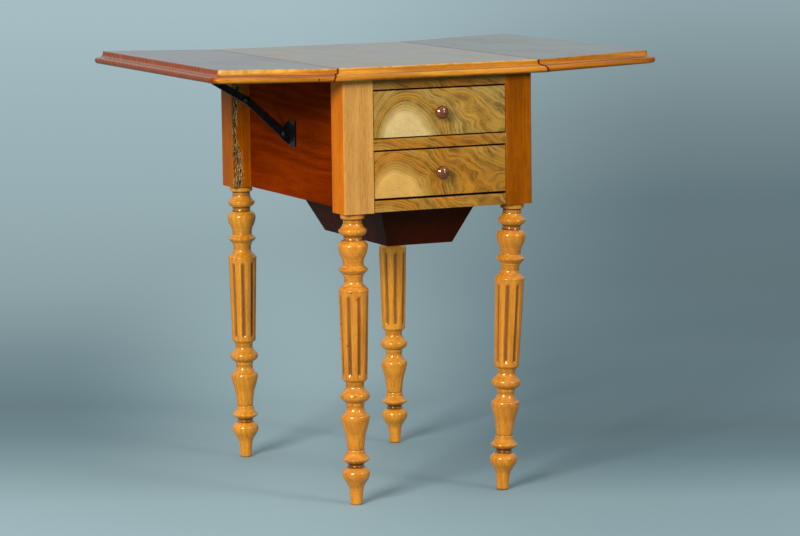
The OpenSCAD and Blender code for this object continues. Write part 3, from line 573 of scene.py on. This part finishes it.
# Each row of a turning is length, radius at its lower end, radius at its upper end and bulge, in mm
LOWER_TURNING = [
    (4.4, 9.8, 10.6, 0.3), (24.6, 10.6, 12.7, -0.4), (13, 12.7, 20, -0.6), (11, 20, 23.8, 1),
    (11.6, 23.8, 15.2, 2.6), (3.4, 15.2, 13, 0), (4.6, 13, 17.2, -0.6), (4.6, 17.2, 23.2, 0.6),
    (2.2, 23.2, 23.4, 0.3), (8.8, 23.4, 16.2, -1.2), (5, 15.8, 15.8, 0), (1.4, 14.8, 14.8, 0),
    (27.4, 14.2, 17.6, -0.3), (22, 17.6, 23.6, 0.4), (6, 23.6, 24.4, 0.4), (4.5, 24.4, 22.8, 0.5),
    (13.5, 20.8, 14.8, -1.4), (3, 14.8, 15.3, 0), (5, 15.8, 15.8, 0), (10, 17, 24.8, 2.4),
    (8, 24.8, 20.8, 1.4), (11, 20.8, 15.4, -1.6), (6, 15.4, 16.8, -0.4), (4.5, 16.8, 21.4, 0.6),
]
UPPER_TURNING = [
    (2, 25.4, 25.9, 0), (2.5, 25.9, 24.8, 0.3), (4, 24.8, 21.6, -0.5), (10, 20.4, 15.9, -1.4),
    (8, 15.9, 17.2, -0.6), (3, 17.8, 17.8, 0), (1.5, 18.6, 20.2, 0), (6, 20.2, 25.4, 0.4),
    (1, 25.4, 25.4, 0), (6.5, 25.4, 18.4, -1), (4, 18, 17.8, 0), (9, 17.8, 19.9, -0.4),
    (17, 19.9, 25.4, 1), (12, 25.4, 18.4, 2.6), (4, 17, 15.6, 0), (4, 15.6, 16.6, 0),
    (8.5, 17.8, 24.2, 1.6), (2, 24.2, 24, 0.2), (9, 24, 17, -1.4), (9.5, 16.6, 16.2, -0.4),
    (9, 20.2, 20.2, 0.3),
]
LEG_H = 497.0
SHAFT_LOW = sum(row[0] for row in LOWER_TURNING)
SHAFT_HIGH = LEG_H - sum(row[0] for row in UPPER_TURNING)
FLUTES = 8
FLUTE_R = 5.0
FLUTE_DEPTH = 2.6
FLUTE_GAP = 5.5
TENON_R = 11.0
TENON_LEN = 40.0
LEAN = 2.7
OUTLINE_STEP = 0.25
EASED = 1.4
LEG_RINGS = 430
# angles round one flute, close together at its two arrises
FLUTE_ANGLES = [-22.5, -17.5, -13.0, -11.6, -10.2, -7.0, -2.6, 2.6, 7.0, 10.2, 11.6, 13.0, 17.5]


def turning_points(rows, z):
    """(radius, height) points up a turning that starts at z."""
    points = []
    for length, low, high, bulge in rows:
        steps = max(2, math.ceil(length)) if bulge else 1
        for i in range(steps + 1):
            t = i / steps
            points.append((low + (high - low) * t + 4 * bulge * t * (1 - t), z + length * t))
        z += length
    return points


def path_length(points):
    return np.hypot(*np.diff(points, axis=0).T)


def leg_outline():
    """The leg's radius and height, ring by ring, with sharp corners eased a little."""
    top = LEG_H + TENON_LEN
    points = [(0.0, 0.0), (LOWER_TURNING[0][1], 0.0)]
    points += turning_points(LOWER_TURNING, 0.0)
    points += turning_points(UPPER_TURNING, SHAFT_HIGH)
    points += [(TENON_R, LEG_H), (TENON_R, top), (0.0, top)]
    points = np.array(points)
    points = points[np.concatenate([[True], path_length(points) > 1e-6])]
    length = np.concatenate([[0.0], np.cumsum(path_length(points))])
    fine = np.arange(0.0, length[-1], OUTLINE_STEP)
    half = 4
    kernel = np.exp(-0.5 * (np.arange(-half, half + 1) / EASED) ** 2)
    kernel /= kernel.sum()
    radius, height = (
        np.convolve(np.pad(np.interp(fine, length, values), half, mode="edge"), kernel, "valid")
        for values in points.T
    )
    # rings are closer together where the outline bends
    slope = np.unwrap(np.arctan2(np.gradient(height), np.gradient(radius)))
    density = 0.32 + 3.2 * np.abs(np.gradient(slope, fine))
    travel = np.cumsum(0.5 * (density[1:] + density[:-1]) * OUTLINE_STEP)
    travel = np.concatenate([[0.0], travel])
    pick = np.interp(np.linspace(0.0, travel[-1], LEG_RINGS), travel, fine)
    radius, height = np.interp(pick, fine, radius), np.interp(pick, fine, height)
    radius[0], radius[-1] = 0.0, 0.0
    return radius, height


def hollows(radius, height):
    """How far each ring lies in a hollow of the turning, from 0 to 1 or a little more."""

    def widest(near):
        return np.array([radius[near(z)].max(initial=0.0) for z in height])

    below = widest(lambda z: (height <= z) & (height > z - 9.0))
    above = widest(lambda z: (height >= z) & (height < z + 9.0))
    beside = widest(lambda z: np.abs(height - z) < 2.2)
    valley = np.minimum(below, above) - radius
    broad = np.clip((valley - 0.5) / 4.5, 0.0, 1.0) ** 0.7
    narrow = np.clip((beside - radius - 0.3) / 1.8, 0.0, 1.0) * np.clip(valley / 0.6, 0.0, 1.0)
    # the lowest 3 mm of the leg take painted shade where it meets the floor
    foot = np.maximum(0.0, 1.0 - height / 3.0)
    return broad * 0.55 + narrow + foot


def flute_cut(r, z, across):
    """Radius round one ring of the fluted shaft, where across is the angle from a flute."""
    low_end = SHAFT_LOW + FLUTE_GAP + FLUTE_R
    high_end = SHAFT_HIGH - FLUTE_GAP - FLUTE_R
    past = max(0.0, low_end - z, z - high_end)
    tool = FLUTE_R**2 - past**2
    if not SHAFT_LOW < z < SHAFT_HIGH or tool <= 0:
        return np.full(len(across), r)
    axis = r + FLUTE_R - FLUTE_DEPTH
    inside = tool - (axis * np.sin(across)) ** 2
    cut = axis * np.cos(across) - np.sqrt(np.clip(inside, 0.0, None))
    return np.where(inside > 0, np.minimum(r, cut), r)


def leg_surface(turn):
    """The points, faces and hollows of an upright leg on the origin, in mm."""
    radius, height = leg_outline()
    around = np.concatenate([np.array(FLUTE_ANGLES) + 45.0 * i for i in range(FLUTES)])
    around = np.radians(around)
    across = np.radians(np.tile(FLUTE_ANGLES, FLUTES))
    turned = around + math.radians(turn)
    points, recess = [], []
    for r, z, hollow in zip(radius, height, hollows(radius, height)):
        ring = flute_cut(r, z, across)
        # the flutes are painted darker towards their bottoms, as shade
        groove = np.clip((r - ring) / FLUTE_DEPTH, 0.0, 1.0) * 0.85
        uneven = 1.0 + 0.004 * np.sin(2 * around + z * 0.013) * (r > TENON_R)
        ring = ring * uneven
        level = np.full(len(around), z)
        points.append(np.stack([ring * np.cos(turned), ring * np.sin(turned), level], 1))
        recess.append(np.clip(np.maximum(groove, hollow), 0.0, 1.0))
    index = np.arange(len(points) * len(around)).reshape(len(points), len(around))
    right = np.roll(index, -1, axis=1)
    faces = np.stack([index[:-1], right[:-1], right[1:], index[1:]], -1).reshape(-1, 4)
    return np.concatenate(points), faces, np.concatenate(recess)


def build_leg(name, node, turn, material, lean=0.0):
    """A turned and fluted leg, leaning about the foot of its post."""
    points, faces, recess = leg_surface(turn)
    points *= MM
    points[:, Z] -= LEG_H * MM
    tilt = math.radians(lean)
    below_post = points[:, Z] < 0
    px, pz = points[:, X].copy(), points[:, Z].copy()
    points[below_post, X] = (px * math.cos(tilt) + pz * math.sin(tilt))[below_post]
    points[below_post, Z] = (pz * math.cos(tilt) - px * math.sin(tilt))[below_post]
    low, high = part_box(node)
    # a leaning leg starts under its post, like the upright leg behind it
    upright_low, upright_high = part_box("back_right_leg" if lean else node)
    points += np.array([(upright_low.x + upright_high.x) / 2, (low.y + high.y) / 2, LEG_H * MM])
    points[:, Z] = np.maximum(points[:, Z], 0.0)

    mesh = bpy.data.meshes.new(name)
    mesh.from_pydata(points.tolist(), [], faces.tolist())
    point_values(mesh, "recess", recess)
    work = bmesh.new()
    work.from_mesh(mesh)
    bmesh.ops.remove_doubles(work, verts=work.verts, dist=0.01 * MM)
    bmesh.ops.recalc_face_normals(work, faces=work.faces)
    work.to_mesh(mesh)
    work.free()
    smooth(mesh)
    mesh.materials.append(material)
    stand_in(name, mesh, "carcass", node)


build_leg("turned_leg_front_left", "front_left_leg", 0, leg_wood)
build_leg("turned_leg_front_right", "front_right_leg", 12, leg_wood, LEAN)
build_leg("turned_leg_back_left", "back_left_leg", 25, back_leg_wood_painted_light)
build_leg("turned_leg_back_right", "back_right_leg", 33, back_leg_wood_painted_light)

# ---- Softened copies of flat pieces ----


def softened(name, node, body, material, width, front_only=False):
    """A copy of a CAD node with its sharp edges, or only those of its front, rounded over."""
    mesh = NODES[node].data.copy()
    mesh.name = name
    front_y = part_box(node)[0].y
    work = bmesh.new()
    work.from_mesh(mesh)
    bmesh.ops.remove_doubles(work, verts=work.verts, dist=0.002 * MM)
    bmesh.ops.dissolve_limit(
        work, angle_limit=math.radians(0.5), verts=work.verts, edges=work.edges,
        use_dissolve_boundaries=False,
    )
    edges = [
        edge for edge in work.edges
        if len(edge.link_faces) == 2
        and edge.calc_face_angle(0.0) > math.radians(30)
        and (not front_only or all(abs(v.co.y - front_y) < 0.05 * MM for v in edge.verts))
    ]
    bmesh.ops.bevel(
        work, geom=edges, offset=width, offset_type="OFFSET", segments=3, profile=0.5,
        affect="EDGES", clamp_overlap=True, harden_normals=False,
    )
    work.to_mesh(mesh)
    work.free()
    mesh.materials.clear()
    mesh.materials.append(material)
    smooth(mesh)
    mesh.set_sharp_from_angle(angle=math.radians(35))
    stand_in(name, mesh, body, node)


FACE_ROUND = 0.9 * MM
RAIL_ROUND = 0.5 * MM
for drawer, veneer in (("upper", upper_veneer), ("lower", lower_veneer)):
    softened(
        f"{drawer}_front_face", f"{drawer}_drawer_front", f"{drawer}_drawer", veneer, FACE_ROUND,
        front_only=True,
    )
softened("middle_rail_face", "mid_rail", "carcass", rail_veneer, RAIL_ROUND)
softened("well_strip_face", "well_front_strip", "well", strip_veneer, FACE_ROUND)

# ---- Post with a broken-out corner ----

POST_CHAMFER = 1.2 * MM
FINE_REACH = 24 * MM
FINE_STEP = 0.8 * MM
SPLIT_DEPTH = 3.2 * MM


def post_outline(low, high):
    """Points round the post, close together near its broken corner at low."""
    c = POST_CHAMFER
    corners = [
        (low.x + c, low.y), (high.x - c, low.y), (high.x, low.y + c), (high.x, high.y - c),
        (high.x - c, high.y), (low.x + c, high.y), (low.x, high.y - c), (low.x, low.y + c),
    ]
    outline = []
    for (ax, ay), (bx, by) in zip(corners, corners[1:] + corners[:1]):
        span = math.hypot(bx - ax, by - ay)
        start_off = math.hypot(ax - low.x, ay - low.y)
        end_off = math.hypot(bx - low.x, by - low.y)
        if min(start_off, end_off) >= 3 * MM:
            shares = [0.0]
        elif span > FINE_REACH:
            steps = round(FINE_REACH / FINE_STEP)
            shares = [j / steps * FINE_REACH / span for j in range(steps + 1)]
            if start_off > end_off:
                shares = [0.0] + [1.0 - share for share in reversed(shares)][:-1]
        else:
            steps = max(1, int(span / FINE_STEP))
            shares = [j / steps for j in range(steps)]
        outline += [(ax + (bx - ax) * share, ay + (by - ay) * share) for share in shares]
    return outline


def fractal(x, y, z, scale):
    return noise.fractal(Vector((x, y, z)) * scale, 0.7, 2.1, 5)


def split_width(z, down):
    """Middle and half width, in mm, of the broken-out strip at a height; down is 0 to 1."""
    middle = 8.0 + 3.0 * math.sin(9.0 * down) + 2.0 * fractal(0.0, 0.3, z, 45.0)
    half = 8.4 - 4.4 * math.exp(-(((down - 0.57) / 0.10) ** 2))
    half += 2.0 * max(0.0, down - 0.62) / 0.38
    half += 2.6 * fractal(0.4, 0.0, z, 120.0)
    return middle, half * min(1.0, max(0.0, (down - 0.05) / 0.08))


def split_at(x, y, z, from_corner, middle, half):
    """How raw the wood is at a point of the post, and how deep it is broken out."""
    edge = 1.0 - abs(from_corner - middle) / max(half, 0.01) if half > 0.2 else -1.0
    edge += 0.35 * fractal(x, y, z, 260.0)
    raw = min(1.0, max(0.0, edge * 2.2))
    rough = 0.55 + 0.9 * fractal(x, y, z * 0.22, 420.0)
    return raw, raw * max(0.1, min(1.6, rough)) * SPLIT_DEPTH


def broken_post():
    """The back left post, split out along its outer front corner."""
    low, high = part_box("back_left_post")
    outline = post_outline(low, high)
    rows = int((high.z - low.z) / MM)
    verts, raws, depths = [], [], []
    for k in range(rows + 1):
        z = low.z + (high.z - low.z) * k / rows
        middle, half = split_width(z, (high.z - z) / (high.z - low.z))
        for x, y in outline:
            in_front = y < low.y + 0.5 * POST_CHAMFER + 0.2 * MM
            from_corner = (x - low.x) / MM if in_front else -(y - low.y) / MM
            raw, depth = split_at(x, y, z, from_corner, middle, half)
            sideways = 0.36 if from_corner > 3 else 0.72
            verts.append((x + depth * sideways, y + depth, z))
            raws.append(raw)
            depths.append(min(1.0, depth / (3.6 * MM)))
    n = len(outline)
    faces = [
        (k * n + i, k * n + (i + 1) % n, (k + 1) * n + (i + 1) % n, (k + 1) * n + i)
        for k in range(rows)
        for i in range(n)
    ]
    faces.append(tuple(range(n - 1, -1, -1)))
    faces.append(tuple(rows * n + i for i in range(n)))
    mesh = bpy.data.meshes.new("broken_back_left_post")
    mesh.from_pydata(verts, [], faces)
    point_values(mesh, "raw", raws)
    point_values(mesh, "raw_depth", depths)
    smooth(mesh)
    mesh.set_sharp_from_angle(angle=math.radians(40))
    mesh.materials.append(broken_out_wood("broken_post_wood", orange_post))
    stand_in("broken_back_left_post", mesh, "carcass", "back_left_post")


broken_post()

# ---- Smooth shading of the CAD nodes that are seen ----

for node in NODES.values():
    if not node.hide_render:
        smooth(node.data)

# ---- Floor, light and camera ----

CAMERA_PLACE = (-2.44934, -5.49027, 1.15664)
YAW, PITCH, ROLL = 0.427276, 0.130957, -0.0129275
LENS = 154.580625
SENSOR = 36.0
AHEAD = (math.sin(YAW), math.cos(YAW), 0.0)
ACROSS = (math.cos(YAW), -math.sin(YAW), 0.0)
FLOOR_REACH = 60.0
BANDS_START = 6.0
BANDS_SCALE = 5.45


def studio_floor():
    """Blue-grey paper with painted soft bands of light and shade that follow the front view."""
    s = Shader("studio_paper")
    point = s.coords()
    away = s.math("ADD", s.vector("DOT_PRODUCT", point, AHEAD), BANDS_START)
    away = s.math("MAXIMUM", away, 1.0)
    nearness = s.math("DIVIDE", BANDS_SCALE, away)
    sideways = s.math("DIVIDE", s.vector("DOT_PRODUCT", point, ACROSS), away)
    # painted light and shade: the paper grows paler into the distance, with a painted shadow
    # band just beyond the table, and darker again towards the right
    left = s.ramp(
        nearness, (0.26, 0.63), (0.42, 0.51), (0.53, 0.43), (0.64, 0.33), (0.74, 0.205),
        (0.81, 0.155), (0.85, 0.18), (0.89, 0.235), (0.95, 0.32),
    )
    right = s.ramp(
        nearness, (0.26, 0.44), (0.42, 0.25), (0.53, 0.165), (0.64, 0.15), (0.74, 0.18),
        (0.81, 0.155), (0.85, 0.125), (0.89, 0.155), (0.95, 0.26),
    )
    level = s.mix(s.span(sideways, -0.04, 0.09, 0.0, 1.0, smooth=True), left, right)
    # a painted pool of light just beyond the table
    spot_x = s.math("MULTIPLY_ADD", sideways, 13.0, 0.26)
    spot_y = s.math("MULTIPLY_ADD", nearness, 4.4, -3.45)
    painted_light_pool = s.span(s.vector("LENGTH", s.join(spot_x, spot_y)), 1.0, 0.0, 0.0, 0.15, smooth=True)
    colour = s.ramp(
        s.math("ADD", level, painted_light_pool),
        (0.0, (0.0, 0.0, 0.0, 1.0)), (0.17, (0.103, 0.17, 0.197, 1.0)),
        (0.30, (0.210, 0.30, 0.330, 1.0)), (0.66, (0.490, 0.66, 0.720, 1.0)),
    )

    r = FLOOR_REACH
    mesh = bpy.data.meshes.new("studio_floor")
    mesh.from_pydata([(-r, -r, 0), (r, -r, 0), (r, r, 0), (-r, r, 0)], [], [(0, 1, 2, 3)])
    mesh.materials.append(s.finish(colour, 0.75, specular=0.2))
    floor = add_object("studio_floor", mesh)


def studio_world():
    """An even studio sky: dim at the horizon and bright overhead."""
    world = bpy.data.worlds.new("studio_world")
    bpy.context.scene.world = world
    world.use_nodes = True
    tree = world.node_tree
    background = tree.nodes["Background"]
    coords = tree.nodes.new("ShaderNodeTexCoord")
    split = tree.nodes.new("ShaderNodeSeparateXYZ")
    ramp = tree.nodes.new("ShaderNodeValToRGB")
    tree.links.new(coords.outputs["Generated"], split.inputs[0])
    tree.links.new(split.outputs[2], ramp.inputs[0])
    elements = ramp.color_ramp.elements
    elements[0].position, elements[0].color = 0.18, (0.34, 0.42, 0.45, 1.0)
    elements[1].position, elements[1].color = 0.75, (0.90, 0.90, 0.88, 1.0)
    tree.links.new(ramp.outputs[0], background.inputs[0])
    background.inputs[1].default_value = 1.0


def area_light(name, position, target, width, height, power, colour):
    data = bpy.data.lights.new(name, "AREA")
    data.shape = "RECTANGLE"
    data.size, data.size_y = width, height
    data.energy = power
    data.color = colour
    lamp = add_object(name, data)
    lamp.location = position
    lamp.rotation_euler = (Vector(target) - Vector(position)).to_track_quat("-Z", "Y").to_euler()


def front_camera():
    """A long lens that looks at the table's narrow front past its left corner."""
    data = bpy.data.cameras.new("camera")
    data.sensor_width = SENSOR
    data.lens = LENS
    data.clip_start, data.clip_end = 0.1, 200.0
    across, ahead, up = Vector(ACROSS), Vector(AHEAD), Vector((0.0, 0.0, 1.0))
    view = math.cos(PITCH) * ahead - math.sin(PITCH) * up
    level_up = math.cos(PITCH) * up + math.sin(PITCH) * ahead
    right = math.cos(ROLL) * across + math.sin(ROLL) * level_up
    rolled_up = math.cos(ROLL) * level_up - math.sin(ROLL) * across
    turn = Matrix((right, rolled_up, -view)).transposed()
    camera = add_object("camera", data)
    camera.matrix_world = Matrix.Translation(CAMERA_PLACE) @ turn.to_4x4()
    bpy.context.scene.camera = camera


studio_floor()
studio_world()
area_light("key_light", (-4.5, -3.6, 2.7), (0.0, 0.0, 0.45), 1.8, 1.8, 480.0, (1.0, 0.97, 0.92))
area_light("fill_light", (2.7, -5.1, 3.0), (0.0, 0.0, 0.4), 1.4, 1.8, 120.0, (1.0, 0.96, 0.9))
front_camera()
bpy.context.scene.view_settings.view_transform = "Standard"
